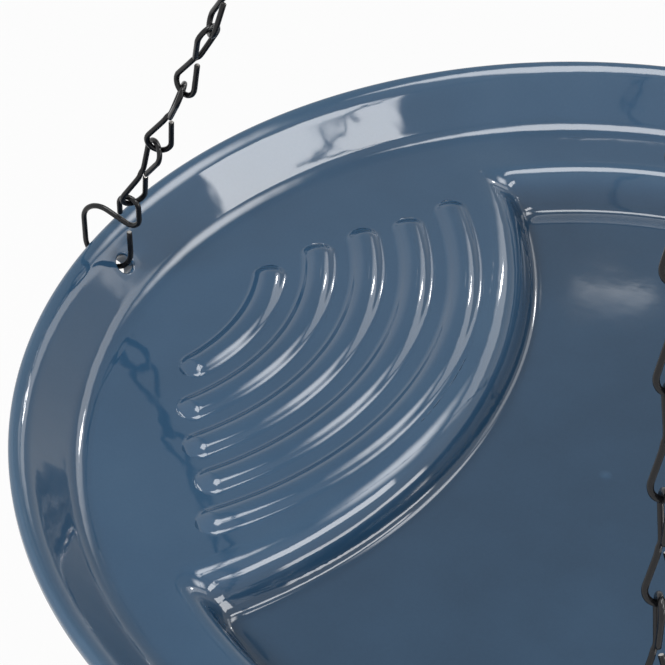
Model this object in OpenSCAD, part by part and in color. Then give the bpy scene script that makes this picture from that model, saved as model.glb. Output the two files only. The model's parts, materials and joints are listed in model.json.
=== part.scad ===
// Hanging bird waterer: a glazed dish with a perching ledge, hung level from
// three chains of bent-wire links that meet on a ring under a hanging hook.
// Millimetres. The origin is where the hanging hook bears on its support, +Z is
// up, and the ledge lies towards -X.

/* [Dish] */
// Diameter over the rim
dish_d = 300; // [260:1:360]
// Thickness of the ceramic
ceramic_t = 5; // [4:0.1:6.5]
// Radius of the roll from the wall up to the rim
rim_roll_r = 9; // [7:0.1:12]
// Rounding of the rim's outer edge
rim_edge_r = 1.5; // [1:0.1:2.2]
// Slope of the flared wall above the level, degrees
flare_angle = 45; // [40:1:50]
// Depth of the shelf below the rim
shelf_depth = 13.2; // [11:0.1:18]
// Fillet between the flared wall and the shelf
shelf_fillet_r = 9; // [4:0.5:14]

/* [Well] */
// Diameter of the well at its upper edge
well_d = 228; // [190:1:234]
// Depth of the well below the shelf
well_depth = 10.5; // [9:0.1:18]
// Lean of the well's wall from the vertical, degrees
well_draft = 25; // [10:1:35]
// Rounding of the well's upper edge
well_edge_r = 5; // [2:0.1:6]
// Fillet round the well's floor
well_fillet_r = 4; // [2:0.1:5]

/* [Perching ledge] */
// Distance from the dish's axis to the middle of the ledge's front edge
ledge_tip = 39; // [25:1:60]
// Radius of the ledge's front edge, seen from above
ledge_front_r = 144; // [125:1:170]
// Rounding along the ledge's front edge
ledge_edge_r = 7; // [3:0.1:8]
// Number of ribs on the ledge
rib_count = 5; // [3:1:5]
// Distance from the dish's axis to the common centre of the ribs
rib_centre = 157.5; // [152:0.5:164]
// Radius of the outermost rib about that centre
rib_first_r = 54; // [52:0.5:60]
// Distance from one rib to the next
rib_pitch = 13.2; // [10:0.1:14]
// Width of a rib where it leaves the ledge
rib_w = 6; // [4:0.1:8]
// Height of a rib
rib_h = 1.8; // [1:0.1:2.5]
// Half the angle each rib spans about that centre, outermost rib first, degrees
rib_spans = [22.5, 31.5, 35.5, 37.2, 40.2];

/* [Hanging holes] */
// Diameter of a hanging hole
hole_d = 5.4; // [5.2:0.1:6]
// Distance of a hole in from the rim, measured level
hole_inset = 9.5; // [9:0.1:12]
// Angle from the hole on the ledge side to each of the others, degrees
side_hole_angle = 115; // [110:1:125]

/* [Rim hooks] */
// Diameter of the rim hook's wire
hook_wire_d = 1.5; // [1.2:0.1:1.7]
// Bend radius of the lower bend, at the middle of the wire
hook_bend_r = 7; // [6.6:0.1:7.4]
// Slope of the line from the hole up to the lower bend's centre, degrees
hook_bend_rise = 62; // [58:1:66]
// Bend radius of the crown, at the middle of the wire
crown_r = 5.5; // [5:0.1:6]
// Height of the hook's crown above the rim, at the middle of the wire
hook_rise = 11; // [9:0.1:14]
// Turn of the crown before the wire runs down to the eye, degrees
crown_turn = 112; // [105:1:120]
// Straight run from the crown to the eye
crown_run = 6.2; // [5:0.1:7]
// Bend radius of the eye, at the middle of the wire
eye_r = 2.9; // [2.7:0.1:3.2]
// Straight length of the eye's sides
eye_side = 3.4; // [2.6:0.1:5]
// Height of the hook's free end above the rim
hook_tip = 5.5; // [2:0.1:6]

/* [Chain] */
// Links in each chain
links = 16; // [12:1:16]
// Length of a link over its wire
link_len = 25.7; // [23:0.1:32]
// Width of a link's loops over the wire
link_w = 7.9; // [7.6:0.1:9]
// Diameter of the link's wire
link_wire_d = 1.5; // [1.2:0.1:1.6]
// Play between two pieces of wire that bear on each other
bearing_gap = 0.2; // [0.15:0.01:0.3]
// Half the distance between the two strands at a link's waist
waist_half = 0.85; // [0.82:0.01:0.95]
// Height from the waist at which a link's wire ends
waist_cut = 0.95; // [0.9:0.01:1.2]
// Turn of the ledge chain's four lowest links about the chain, degrees
ledge_turns = [144, 108, 72, 36];

/* [Top ring] */
// Mean diameter of the ring
ring_d = 24; // [20:0.5:34]
// Diameter of the ring's wire
ring_wire_d = 3; // [2.5:0.1:3.4]
// Play between the ring and the hanging hook
ring_play = 0.3; // [0.2:0.05:0.6]

/* [Hanging hook] */
// Length between the two bearing points, inside the bends
hanger_len = 60; // [52:1:90]
// Diameter of the hanging hook's wire
hanger_wire_d = 3; // [2.5:0.1:3.5]
// Inside radius of the upper bend
hanger_top_r = 12; // [8:0.5:15]
// Inside radius of the lower bend
hanger_eye_r = 5.5; // [4.5:0.1:7]
// Straight length of the upper bend's free end
hanger_tip = 5; // [2:0.5:12]
// Turn of the lower bend past the level, closing it towards the shank, degrees
hanger_close = 40; // [20:1:60]

/* [Hidden] */
CHAINS = ["a", "b", "c"];
function two(n) = n < 10 ? str("0", n) : str(n);
function link_name(c, i) = str("chain_", CHAINS[c], "_link_", two(i));
function hook_name(c) = str("rim_hook_", CHAINS[c]);

// Facets: round bodies, outline arcs, and the bent wires
ROUND_FN = 128;
ARC_STEPS = 8;
BEND_STEP = 24;
LINK_SIDES = 6;
HOOK_SIDES = 8;
LOOP_STEPS = 8;
// Overlap that lets one body run into another before they join
BITE = 2;
// Angle at which a foot fillet meets the floor, so that the two cross cleanly
FOOT_CROSS = 14;
// Step by which a rib's domed end is smaller than the rib
END_STEP = 0.05;
// Turn by which a rib's dome runs on below the ledge, degrees
DOME_PAST = 12;

GLAZE = [0.25, 0.33, 0.42];
STEEL = [0.12, 0.12, 0.13];

dish_r = dish_d / 2;
lip_r = ceramic_t / 2;
floor_z = -shelf_depth - well_depth;
hole_angles = [180, 180 + side_hole_angle, 180 - side_hole_angle];

function unit(v) = v / norm(v);
function arc(c, r, a0, a1, n = ARC_STEPS) =
    [for (i = [0:n]) c + r * [cos(a0 + (a1 - a0) * i / n), sin(a0 + (a1 - a0) * i / n)]];
function tail(v) = [for (i = [1:len(v) - 1]) v[i]];

// Flared wall: its two faces touch the circle that rounds the rim's underside
lip_c = [dish_r - lip_r, -lip_r];
wall_t = [cos(flare_angle), sin(flare_angle)];
wall_n = [-sin(flare_angle), cos(flare_angle)];
wall_in = lip_c + lip_r * wall_n;
function wall_r_at(z) = wall_in[0] + (z - wall_in[1]) / tan(flare_angle);
function wall_z_at(r) = wall_in[1] + (r - wall_in[0]) * tan(flare_angle);
fillet_c = [
    wall_r_at(-shelf_depth) - shelf_fillet_r * tan(flare_angle / 2),
    shelf_fillet_r - shelf_depth];

// Rim: the roll touches the wall's inner face and runs into the outer edge
rim_edge_c = [dish_r - rim_edge_r, -rim_edge_r];
edge_sink = (wall_in - rim_edge_c) * wall_n;
edge_reach = sqrt(pow(rim_roll_r - rim_edge_r, 2) - pow(rim_roll_r - edge_sink, 2));
roll_c = wall_in + ((rim_edge_c - wall_in) * wall_t - edge_reach) * wall_t - rim_roll_r * wall_n;
roll_end = 90 + flare_angle - atan(edge_reach / (rim_roll_r - edge_sink));

// A hole goes square through the wall
hole_in = [dish_r - hole_inset, wall_z_at(dish_r - hole_inset)];
hole_mid = hole_in - lip_r * wall_n;

// Rim hook: its lower bend goes through the middle of the hole
hook_c = hole_mid + hook_bend_r * [cos(hook_bend_rise), sin(hook_bend_rise)];
crown_c = [hook_c[0] + hook_bend_r - crown_r, hook_rise - crown_r];
hook_start = [hook_c[0] - hook_bend_r, hook_tip];
hook_heading = -90;
hook_segs = [
    [0, hook_tip - hook_c[1]],
    [hook_bend_r, 180],
    [0, crown_c[1] - hook_c[1]],
    [crown_r, crown_turn],
    [0, crown_run],
    [eye_r, -crown_turn],
    [0, eye_side],
    [eye_r, -180],
    [0, eye_side]];

// Centre of the upper bend of the hook's eye, which the chain pulls straight from
crown_end = crown_c + crown_r * [cos(crown_turn), sin(crown_turn)];
run_end = crown_end + crown_run * [-sin(crown_turn), cos(crown_turn)];
eye_c = run_end + eye_r * [cos(crown_turn), sin(crown_turn)];
eye_mid = eye_c + [0, eye_side];

// Chain: the ledge chain sets the hanging height
link_a = link_wire_d / 2;
ring_a = ring_wire_d / 2;
hook_a = hook_wire_d / 2;
hanger_a = hanger_wire_d / 2;
link_core = link_len - link_wire_d;
ring_r = ring_d / 2;
// Span of a chain from eye to ring for a given play at each bearing
function span(g) = links * (link_core - link_wire_d - g) - hook_a - ring_a - g;
// Play at each bearing of a chain of a given span
function play(d) =
    (links * (link_core - link_wire_d) - hook_a - ring_a - d) / (links + 1);
hang_h = sqrt(pow(span(bearing_gap) + eye_r, 2) - pow(eye_mid[0], 2));

ring_top_z = ring_a + ring_play - hanger_len;
ring_z = ring_top_z - ring_r;
eye_z = ring_z - ring_r - hang_h;
rim_z = eye_z - eye_mid[1];

function eye_at(c) =
    [eye_mid[0] * cos(hole_angles[c]), eye_mid[0] * sin(hole_angles[c]), eye_z];
// A chain hangs on the ring where its pull points away from the ring's centre
function ring_turn(c) = atan(eye_at(c)[1] / (ring_z - eye_z));
function ring_at(c) = [0, ring_r * sin(ring_turn(c)), ring_z - ring_r * cos(ring_turn(c))];

// Chain frame: t up the chain, y level along the rim, x across
function chain_t(c) = unit(ring_at(c) - eye_at(c));
function chain_y(c) =
    let (u = [-sin(hole_angles[c]), cos(hole_angles[c]), 0])
    unit(u - (u * chain_t(c)) * chain_t(c));
function chain_x(c) = cross(chain_y(c), chain_t(c));
function chain_play(c) = play(norm(ring_at(c) - eye_at(c)) - eye_r);
// Turn that sets the top link square to the ring's wire
function top_turn(c) =
    let (w = [0, cos(ring_turn(c)), sin(ring_turn(c))])
    atan(-(w * chain_x(c)) / (w * chain_y(c)));
function turn_at(c, i) = c == 0
    ? lookup(i, [[1, ledge_turns[0]], [2, ledge_turns[1]], [3, ledge_turns[2]],
        [4, ledge_turns[3]], [links, top_turn(0)]])
    : top_turn(c) * (i - 1) / (links - 1);
// Height of a link's waist up its chain, from the centre of the eye's bend
function waist_s(c, i) =
    eye_r - hook_a - link_a - chain_play(c) + link_core / 2
    + (i - 1) * (link_core - link_wire_d - chain_play(c));

// Link, about its waist: the upper loop in XZ, the lower in YZ
loop_r = (link_w - link_wire_d) / 2;
loop_c = link_core / 2 - loop_r;
loop_wrap = asin(loop_r / norm([waist_half, loop_c - waist_cut]))
    - atan(waist_half / (loop_c - waist_cut));
upper_loop = concat([[-waist_half, waist_cut]],
    arc([0, loop_c], loop_r, 180 + loop_wrap, -loop_wrap, LOOP_STEPS),
    [[waist_half, waist_cut]]);
link_path = concat(
    [for (k = [len(upper_loop) - 1:-1:0]) [0, upper_loop[k][0], -upper_loop[k][1]]],
    [waist_half * [-sin(45), -cos(45), 0]],
    [for (p = upper_loop) [p[0], 0, p[1]]]);

// Hanging hook: two bends joined by the line that touches both
hanger_c1 = -hanger_top_r;
hanger_c2 = hanger_eye_r - hanger_len;
hanger_r1 = hanger_top_r + hanger_a;
hanger_r2 = hanger_eye_r + hanger_a;
hanger_lean = asin((hanger_r1 + hanger_r2) / (hanger_c1 - hanger_c2));
hanger_segs = [
    [0, hanger_tip],
    [hanger_r1, -180 - hanger_lean],
    [0, (hanger_c1 - hanger_c2) * cos(hanger_lean)],
    [hanger_r2, hanger_lean + 180 + hanger_close]];

// Points of a flat bent wire: [0, length] goes straight, [radius, turn] bends
function trace(segs, p, h, i = 0) =
    i == len(segs) ? [] :
    let (r = segs[i][0], q = segs[i][1])
    r == 0
        ? let (e = p + q * [cos(h), sin(h)]) concat([e], trace(segs, e, h, i + 1))
        : let (s = r * sign(q), c = p + s * [-sin(h), cos(h)], n = ceil(abs(q) / BEND_STEP))
            concat(
                [for (k = [1:n]) c + s * [sin(h + q * k / n), -cos(h + q * k / n)]],
                trace(segs, c + s * [sin(h + q), -cos(h + q)], h + q, i + 1));

function heading(path, i) =
    let (n = len(path) - 1)
    i == 0 ? unit(path[1] - path[0]) :
    i == n ? unit(path[n] - path[n - 1]) :
    unit(unit(path[i] - path[i - 1]) + unit(path[i + 1] - path[i]));
// One side direction for each point, carried along the wire without twist
function carry(path, side, i = 0) =
    i == len(path) ? [] :
    let (t = heading(path, i), s = unit(side - (side * t) * t))
    concat([s], carry(path, s, i + 1));

// A bent wire with flat ends
module wire(path, side, r, sides) {
    n = len(path);
    us = carry(path, side);
    points = [for (i = [0:n - 1]) for (k = [0:sides - 1])
        let (a = 360 * k / sides, v = cross(heading(path, i), us[i]))
        path[i] + r * (cos(a) * us[i] + sin(a) * v)];
    walls = [for (i = [0:n - 2]) for (k = [0:sides - 1])
        let (m = (k + 1) % sides, o = i * sides)
        each [[o + k, o + sides + k, o + m], [o + m, o + sides + k, o + sides + m]]];
    last = (n - 1) * sides;
    start = [for (k = [1:sides - 2]) [0, k, k + 1]];
    finish = [for (k = [1:sides - 2]) [last, last + k + 1, last + k]];
    polyhedron(points, concat(walls, start, finish));
}

// Rim, flared wall and shelf, the same thickness throughout
module bowl_profile() {
    polygon(concat(
        [[0, -shelf_depth]],
        arc(fillet_c, shelf_fillet_r, -90, flare_angle - 90),
        arc(roll_c, rim_roll_r, 90 + flare_angle, roll_end),
        tail(arc(rim_edge_c, rim_edge_r, roll_end, 0)),
        arc(lip_c, lip_r, 0, flare_angle - 90),
        arc(fillet_c, shelf_fillet_r + ceramic_t, flare_angle - 90, -90),
        [[0, -shelf_depth - ceramic_t]]));
}

// Half section of a well with a rounded edge and a filleted foot; out moves its
// wall outwards and down by a thickness of ceramic
module well_profile(out) {
    r = well_d / 2 + out / cos(well_draft) - out * tan(well_draft);
    edge = max(well_edge_r - out, 0);
    foot = well_fillet_r + out;
    turn = 90 - well_draft;
    top = -shelf_depth - out;
    base = floor_z - out;
    foot_r = r - (top - base) * tan(well_draft);
    edge_c = [r + edge * tan(turn / 2), top - edge];
    foot_c = [foot_r - foot * tan(turn / 2), base + foot];
    polygon(concat(
        [[0, base]],
        arc(foot_c, foot, -90, -well_draft),
        edge > 0 ? arc(edge_c, edge, 180 - well_draft, 90) : [[r, top]],
        [[edge > 0 ? edge_c[0] : r + BITE * tan(well_draft), top + BITE], [0, top + BITE]]));
}

// Half section of the ledge about its own axis; inset moves its wall back and
// its top down by a thickness of ceramic
module ledge_profile(inset) {
    r = ledge_front_r - inset / cos(well_draft) + inset * tan(well_draft);
    edge = ledge_edge_r - inset;
    foot = well_fillet_r + inset;
    turn = 90 - well_draft;
    top = -shelf_depth - inset;
    base = floor_z - inset;
    foot_r = r + (top - base) * tan(well_draft);
    edge_c = [r - edge * tan(turn / 2), top - edge];
    sink = foot * (1 - cos(FOOT_CROSS));
    foot_c = [foot_r + foot * tan(turn / 2), base + foot - sink];
    polygon(concat(
        [[0, top + BITE], [edge_c[0], top + BITE]],
        arc(edge_c, edge, 90, well_draft),
        inset > 0
            ? [[r + (top - base + BITE) * tan(well_draft), base - BITE]]
            : concat(arc(foot_c, foot, 180 + well_draft, 270), [[foot_c[0], base - BITE]]),
        [[0, base - BITE]]));
}

module about_ledge() {
    translate([-ledge_tip - ledge_front_r, 0, 0])
        rotate_extrude($fn = 2 * ROUND_FN)
            children();
}

// A rib is an arc of round bar sunk in the ledge, with a domed end
module rib(r, half) {
    bar = (rib_h * rib_h + rib_w * rib_w / 4) / (2 * rib_h);
    dome = asin(rib_w / 2 / bar) + DOME_PAST;
    translate([-rib_centre, 0, rib_h - bar - shelf_depth]) {
        rotate([0, 0, -half])
            rotate_extrude(angle = 2 * half, $fn = ROUND_FN)
                translate([r, 0])
                    circle(bar, $fn = 24);
        for (a = [-half, half])
            rotate([0, 0, a])
                translate([r, 0, 0])
                    rotate_extrude($fn = 32)
                        polygon(concat([[0, -BITE / 2]], arc([0, 0], bar - END_STEP, 90 - dome, 90)));
    }
}

module dish() {
    color(GLAZE)
        translate([0, 0, rim_z]) {
            difference() {
                union() {
                    rotate_extrude($fn = ROUND_FN)
                        bowl_profile();
                    difference() {
                        rotate_extrude($fn = ROUND_FN)
                            well_profile(ceramic_t);
                        about_ledge()
                            ledge_profile(ceramic_t);
                    }
                    for (k = [0:rib_count - 1])
                        rib(rib_first_r + k * rib_pitch, rib_spans[k]);
                }
                difference() {
                    rotate_extrude($fn = ROUND_FN)
                        well_profile(0);
                    about_ledge()
                        ledge_profile(0);
                }
                for (a = hole_angles)
                    rotate([0, 0, a])
                        translate([hole_mid[0], 0, hole_mid[1]])
                            rotate([0, -flare_angle, 0])
                                cylinder(h = 2 * ceramic_t, d = hole_d, center = true, $fn = 32);
            }
        }
}

module rim_hook(c) {
    u = [cos(hole_angles[c]), sin(hole_angles[c]), 0];
    flat = concat([hook_start], trace(hook_segs, hook_start, hook_heading));
    color(STEEL)
        wire([for (p = flat) p[0] * u + [0, 0, rim_z + p[1]]],
            [-u[1], u[0], 0], hook_a, HOOK_SIDES);
}

module chain_link(c, i) {
    s = turn_at(c, i);
    x = cos(s) * chain_x(c) + sin(s) * chain_y(c);
    y = cos(s) * chain_y(c) - sin(s) * chain_x(c);
    waist = eye_at(c) + waist_s(c, i) * chain_t(c);
    color(STEEL)
        wire([for (p = link_path) waist + p[0] * x + p[1] * y + p[2] * chain_t(c)],
            x, link_a, LINK_SIDES);
}

module top_ring() {
    color(STEEL)
        translate([0, 0, ring_z])
            rotate([0, 90, 0])
                rotate_extrude($fn = 64)
                    translate([ring_r, 0])
                        circle(ring_a, $fn = 24);
}

module hanging_hook() {
    start = [-hanger_r1, hanger_c1 - hanger_tip];
    flat = concat([start], trace(hanger_segs, start, 90));
    color(STEEL)
        wire([for (p = flat) [p[0], 0, p[1]]], [0, 1, 0], hanger_a, HOOK_SIDES);
}

dish();
top_ring();
hanging_hook();
for (c = [0:2])
    rim_hook(c);
for (c = [0:2])
    for (i = [1:links])
        chain_link(c, i);
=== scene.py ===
"""Looks of a hanging bird waterer: a glazed dish hung from three chains of bent-wire links.

Metres. The ledge lies towards -X, and the origin is where the hanging hook bears.
"""

import json
import math

import bpy
import numpy as np
from bpy.props import FloatProperty, FloatVectorProperty, PointerProperty
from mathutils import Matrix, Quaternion, Vector


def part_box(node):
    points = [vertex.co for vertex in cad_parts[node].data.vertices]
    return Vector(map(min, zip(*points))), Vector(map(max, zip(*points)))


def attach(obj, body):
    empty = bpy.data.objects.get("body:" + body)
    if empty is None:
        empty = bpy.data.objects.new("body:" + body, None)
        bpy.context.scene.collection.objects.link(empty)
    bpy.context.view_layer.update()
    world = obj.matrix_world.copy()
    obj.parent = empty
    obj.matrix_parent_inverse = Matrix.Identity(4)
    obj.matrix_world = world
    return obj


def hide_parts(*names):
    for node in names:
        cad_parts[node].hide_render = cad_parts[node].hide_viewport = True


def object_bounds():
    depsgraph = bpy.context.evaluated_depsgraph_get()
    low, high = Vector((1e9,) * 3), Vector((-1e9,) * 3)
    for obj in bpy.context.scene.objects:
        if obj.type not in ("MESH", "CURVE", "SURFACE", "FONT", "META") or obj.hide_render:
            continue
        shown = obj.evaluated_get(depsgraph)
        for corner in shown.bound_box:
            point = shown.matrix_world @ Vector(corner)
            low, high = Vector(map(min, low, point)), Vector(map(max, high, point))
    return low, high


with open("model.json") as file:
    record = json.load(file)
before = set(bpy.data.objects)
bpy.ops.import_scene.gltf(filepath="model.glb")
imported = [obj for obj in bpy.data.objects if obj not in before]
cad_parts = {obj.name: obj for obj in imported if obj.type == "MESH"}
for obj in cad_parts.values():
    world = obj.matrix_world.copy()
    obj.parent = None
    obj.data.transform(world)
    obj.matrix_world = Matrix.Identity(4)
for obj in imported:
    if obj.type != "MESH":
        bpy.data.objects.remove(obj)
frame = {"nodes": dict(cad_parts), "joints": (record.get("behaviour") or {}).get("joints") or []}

bl_info = {
    "name": "Hanging bird waterer",
    "version": (1, 0, 0),
    "blender": (4, 5, 0),
    "location": "View3D > Sidebar > Waterer",
    "description": "Makes a glazed hanging bird waterer round its packed frame",
    "category": "Add Mesh",
}

MM = 0.001
TURN = 2 * math.pi
CAD_LOW, CAD_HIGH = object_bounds()
DISH_LOW, DISH_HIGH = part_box("dish")
RIM_Z = DISH_HIGH.z
CHAINS = ("a", "b", "c")
LINK_COUNT = sum(name.startswith("chain_a_link") for name in frame["nodes"])

# Mesh of the dish: columns round it, rings from its middle over the rim to its foot
LEDGE_SPAN = math.radians(116)
LEDGE_COLUMNS = 228
PLAIN_STEP = math.radians(2)
FIELD_STEP = 0.95 * MM
FOOT_STEP = 3.2 * MM
CORE_RINGS = np.array([2, 5, 9, 14, 19, 24]) * MM
FIELD_INNER = 28 * MM
WALL_START = 124 * MM
LOW_WALL_RINGS = 2
FILLET_RINGS = 9
ROLL_RINGS = 7
EDGE_RINGS = 8
LIP_RINGS = 6
SLOPE_STEP = 0.05 * MM
EASE_SAMPLES = 9
SAME_POINT = 1e-6

# Mesh of a hanging hole: cells to each side of its middle, and rings from its patch into its bore
HOLE_CELLS = 4
HOLE_PATCH = 3.8 * MM
HOLE_EDGE = 0.7 * MM
HOLE_RINGS = (0.4, 0.75, 1.0)
HOLE_TURNS = np.radians([22, 45, 68, 90])

# Mesh of a rib: its skirt runs on past its root, just under the ledge; its ends are a share of its half width
RIB_POINTS = 33
RIB_STEP = 1.2 * MM
RIB_SKIRT = 0.3 * MM
RIB_SINK = 0.003 * MM
RIB_END = 0.85
RIB_TIP = 0.1
RIB_RISE = "end_rise"

# Glaze: painted shade on the well's floor, given as a share of the deep glaze colour; the bend that makes a
# full hollow, and where the foot is wiped
WELL_SHADE = 1.5
FILL_BEND = 3 * MM
FILL_PASSES = 3
LEAST_MOVE = 1e-12
FOOT_FADE = 0.5 * MM

# Bent wire: steps along its bends, points of a link's legs and waist, and sides round the wire
BEND_STEP = math.radians(7)
LOOP_STEP = math.radians(9)
LEG_POINTS = 8
WAIST_REACH = 3
WAIST_PASSES = 3
HOOK_SIDES = 14
LINK_SIDES = 10
RING_SIDES = 20
RING_POINTS = 72
CHAMFER = 0.78
CHAMFER_RUN = 0.16

# Finishes: middle and usual range of a noise, and depth of the fine relief
NOISE_MIDDLE = 0.5
NOISE_RANGE = (0.3, 0.7)
RELIEF = 0.02 * MM

# Stage: distance of the lamps, half the floor's width, and where the mirrored backdrop dims
LAMP_REACH = 2.5
FLOOR_HALF = 6.0
BEHIND = (0, math.sqrt(0.5), math.sqrt(0.5))
BEHIND_FADE = (0.72, 0.92)

# Lamps: name, turn, rise, size, level, soft, lit, shown and roll, as make_lamp takes them
LAMPS = (
    ("key_softbox", -112, 44, (32, 28), 12.5, 0.4, True, False, 0),
    ("side_softbox", 11, 45, (34, 13), 9.5, 0.12, True, True, -20),
    ("top_panel", 90, 84, (30, 26), 9.0, 0.35, False, True, 0),
    ("ledge_panel", 58, 52, (32, 26), 8.5, 0.8, False, True, 0),
    ("low_panel", 9, 9.5, (38, 9), 8.0, 0.15, False, True, 0),
    ("rear_panel", 72, 31, (48, 16), 2.4, 0.3, False, True, 0),
    ("far_panel", 109, 38.3, (2.8, 0.6), 2.6, 0.5, False, True, 0),
    ("small_lamp", 87, 32, (4, 4), 40.0, 0.3, False, True, 0),
)


def length(label, words, value):
    """A size in metres that a user may change."""
    return FloatProperty(name=label, description=words, default=value, min=0, unit="LENGTH", precision=5)


def angle(label, words, degrees):
    """An angle that a user may change."""
    return FloatProperty(name=label, description=words, default=math.radians(degrees), subtype="ANGLE")


def fraction(label, words, value):
    """A share from 0 to 1 that a user may change."""
    return FloatProperty(name=label, description=words, default=value, min=0, max=1, subtype="FACTOR")


def colour(label, words, value):
    """A colour, as linear values, that a user may change."""
    return FloatVectorProperty(
        name=label, description=words, default=value, min=0, max=1, size=3, subtype="COLOR")


class DishSizes(bpy.types.PropertyGroup):
    """Sizes of the dish."""

    rim_d: length("Rim diameter", "Diameter over the rim", DISH_HIGH.y - DISH_LOW.y)
    thickness: length("Thickness", "Thickness of the ceramic", 5 * MM)
    rim_roll: length("Rim roll", "Rounding of the rim towards the inside", 9 * MM)
    rim_edge: length("Rim edge", "Rounding of the rim's outer edge", 1.5 * MM)
    flare: angle("Flare", "Slope of the flared wall above the level", 45)
    shelf_depth: length("Shelf depth", "Depth of the shelf below the rim", 13.2 * MM)
    shelf_fillet: length("Shelf fillet", "Fillet between wall and shelf", 9 * MM)
    well_d: length("Well diameter", "Diameter of the well at its upper edge", 228 * MM)
    well_depth: length("Well depth", "Depth of the well below the shelf", 10.5 * MM)
    well_draft: angle("Well draft", "Lean of the well's wall from the vertical", 25)
    well_edge: length("Well edge", "Rounding of the well's upper edge", 6.5 * MM)
    well_fillet: length("Well fillet", "Fillet round the well's floor", 3 * MM)
    foot_round: length("Foot rounding", "Rounding under the edge of the well", 9 * MM)
    foot_inner: length("Inner rounding", "Fillet under the shelf", 1 * MM)
    ledge_tip: length("Ledge tip", "Distance from the axis to the ledge's front edge", 39 * MM)
    ledge_front: length("Ledge front", "Radius of the ledge's front edge, from above", 144 * MM)
    ledge_edge: length("Ledge edge", "Rounding along the ledge's front edge", 10 * MM)
    corner: length("Corner blend", "Rounding where the ledge meets the well's wall", 6 * MM)
    rib_centre: length("Rib centre", "Distance from the axis to the ribs' common centre", 157.5 * MM)
    rib_first: length("First rib", "Radius of the outermost rib about that centre", 54 * MM)
    rib_pitch: length("Rib pitch", "Distance from one rib to the next", 13.2 * MM)
    rib_spans: FloatVectorProperty(
        name="Rib spans", description="Half angle of each rib about that centre, outermost first",
        default=[math.radians(a) for a in (22.5, 31.5, 35.5, 37.2, 40.2)], size=5, unit="ROTATION")
    rib_crest: length("Rib crest", "Rounding along the top of a rib", 6.0 * MM)
    rib_root: length("Rib root", "Rounding of the hollow at the root of a rib", 3.2 * MM)
    rib_flank: angle("Rib flank", "Steepest slope of a rib's side", 36)
    hole_d: length("Hole diameter", "Diameter of a hanging hole", 5.4 * MM)
    hole_inset: length("Hole inset", "Distance of a hole in from the rim, level", 9.5 * MM)
    ease: length("Easing", "Distance over which the well's and ledge's roundings ease in", 1.5 * MM)


class WireSizes(bpy.types.PropertyGroup):
    """Sizes of the hooks, links and ring."""

    hook_wire: length("Rim hook wire", "Diameter of the rim hook's wire", 1.5 * MM)
    hook_bend: length("Rim hook bend", "Radius of the bend through the hole, at the wire's middle", 7 * MM)
    hook_bend_rise: angle(
        "Rim hook bend rise", "Direction of that bend's centre from the hole, above the level", 62)
    hook_rise: length("Rim hook rise", "Height of the crown above the rim", 11 * MM)
    hook_tip: length("Rim hook tip", "Height of the free end above the rim", 5.5 * MM)
    crown_bend: length("Crown bend", "Radius of the crown, at the wire's middle", 5.5 * MM)
    crown_turn: angle("Crown turn", "Turn of the crown before the wire runs down", 112)
    crown_run: length("Crown run", "Straight run from the crown to the eye", 6.2 * MM)
    eye_bend: length("Eye bend", "Radius of the eye, at the wire's middle", 2.9 * MM)
    eye_side: length("Eye side", "Straight length of the eye's sides", 3.4 * MM)
    link_len: length("Link length", "Length of a link over its wire", 25.7 * MM)
    link_w: length("Link width", "Width of a link's loops over the wire", 7.9 * MM)
    link_wire: length("Link wire", "Diameter of the link's wire", 1.5 * MM)
    waist_half: length("Waist", "Half the distance between the strands at a link's waist", 0.85 * MM)
    waist_cut: length("Waist cut", "Height from the waist at which a link's wire ends", 0.95 * MM)
    ring_wire: length("Ring wire", "Diameter of the top ring's wire", 3 * MM)
    hanger_wire: length("Hanging hook wire", "Diameter of the hanging hook's wire", 3 * MM)
    hanger_len: length("Hanging hook length", "Length between its bearing points", 60 * MM)
    hanger_top: length("Hanging hook top", "Inside radius of the upper bend", 12 * MM)
    hanger_eye: length("Hanging hook eye", "Inside radius of the lower bend", 5.5 * MM)
    hanger_tip: length("Hanging hook tip", "Straight length of its free end", 5 * MM)
    hanger_close: angle("Hanging hook close", "Turn of the lower bend past the level", 40)


class Finishes(bpy.types.PropertyGroup):
    """Colours of the finishes."""

    glaze: colour("Glaze", "Slate-blue glaze", (0.032, 0.085, 0.160))
    # Deep glaze colour: real glaze pooled in hollows, and painted shade on the well's floor
    deep_glaze_and_shade: colour("Deep glaze", "Glaze where it lies thick", (0.014, 0.046, 0.092))
    glaze_thin: colour("Thin glaze", "Glaze where it runs thin over an edge", (0.060, 0.125, 0.205))
    clay: colour("Clay", "Bare fired clay under the foot", (0.42, 0.34, 0.26))
    lacquer: colour("Lacquer", "Black lacquer of the wire", (0.005, 0.005, 0.006))
    steel: colour("Bare steel", "Steel where the wire was cut", (0.62, 0.60, 0.57))


class StageSettings(bpy.types.PropertyGroup):
    """Camera, floor and lamps."""

    lens: FloatProperty(name="Lens", description="Focal length in millimetres", default=142.9, min=1)
    camera: FloatVectorProperty(
        name="Camera", description="Place of the camera, its height from the rim",
        default=(0.1570, -0.4643, 0.4443), size=3, subtype="TRANSLATION", unit="LENGTH")
    heading: angle("Heading", "Direction of the camera, from +X", 116.852)
    tilt: angle("Tilt", "How far the camera looks down", 40.88)
    floor_drop: length("Floor drop", "Distance of the floor below the dish", 0.30)
    floor: colour("Floor", "Pale floor", (0.80, 0.80, 0.80))
    floor_glow: fraction("Floor glow", "Share of the floor's white that is its own", 0.93)
    ambient: FloatProperty(name="Ambient", description="Level of the light all round", default=0.26, min=0)
    behind: fraction("Behind", "Share of the backdrop's white that mirrors high up behind", 0.5)


def settings():
    """The add-on's settings in this scene."""
    return bpy.context.scene.waterer


# Node trees


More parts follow.
